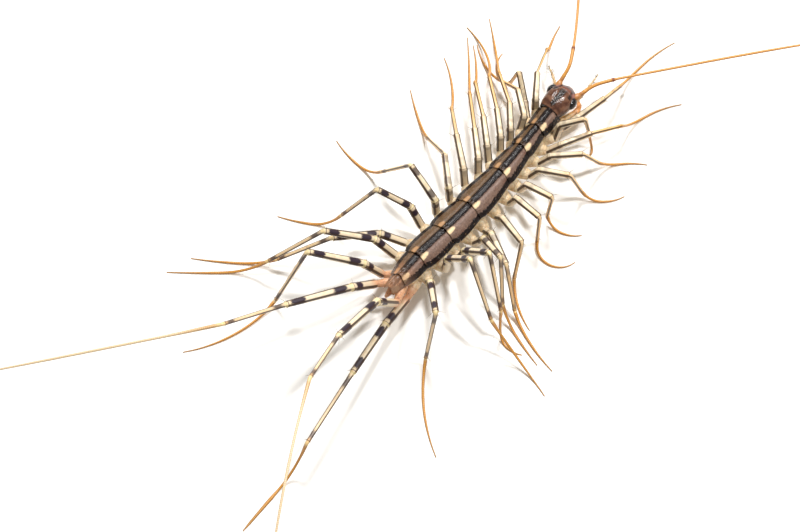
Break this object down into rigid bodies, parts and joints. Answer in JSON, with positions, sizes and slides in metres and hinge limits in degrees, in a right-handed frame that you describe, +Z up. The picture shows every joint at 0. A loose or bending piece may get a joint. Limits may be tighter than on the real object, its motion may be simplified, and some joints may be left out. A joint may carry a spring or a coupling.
{
  "type": "house_centipede_model",
  "caption": "Life-size still model of a house centipede standing with long banded legs spread, striped back and very long feelers",
  "frame": {"origin": "On the floor, under the middle of the whole model, feelers and hind legs included", "axes": "+Z up from the floor, +Y towards the head, -X towards the animal's left side"},
  "size_m": [0.0506, 0.0996, 0.017],
  "materials": {
    "head": "glossy reddish brown shell",
    "eye": "glossy black",
    "feeler": "satin orange brown",
    "mouthpart": "satin beige",
    "back": "satin brown shell with dark stripes",
    "tail": "satin orange",
    "leg": "satin cream with dark bands"
  },
  "bodies": {
    "root": {"head": "head", "eye_left": "eye", "eye_right": "eye", "antenna_left": "feeler", "antenna_right": "feeler", "palp_left": "mouthpart", "palp_right": "mouthpart", "forcipule_left": "mouthpart", "forcipule_right": "mouthpart", "trunk_front": "back", "trunk_middle": "back", "trunk_rear": "back", "telson": "tail", "leg_left_01": "leg", "leg_left_02": "leg", "leg_left_03": "leg", "leg_left_04": "leg", "leg_left_05": "leg", "leg_left_06": "leg", "leg_left_07": "leg", "leg_left_08": "leg", "leg_left_09": "leg", "leg_left_10": "leg", "leg_left_11": "leg", "leg_left_12": "leg", "leg_left_13": "leg", "leg_left_14": "leg", "leg_left_15": "leg", "leg_right_01": "leg", "leg_right_02": "leg", "leg_right_03": "leg", "leg_right_04": "leg", "leg_right_05": "leg", "leg_right_06": "leg", "leg_right_07": "leg", "leg_right_08": "leg", "leg_right_09": "leg", "leg_right_10": "leg", "leg_right_11": "leg", "leg_right_12": "leg", "leg_right_13": "leg", "leg_right_14": "leg", "leg_right_15": "leg"}
  },
  "joints": []
}
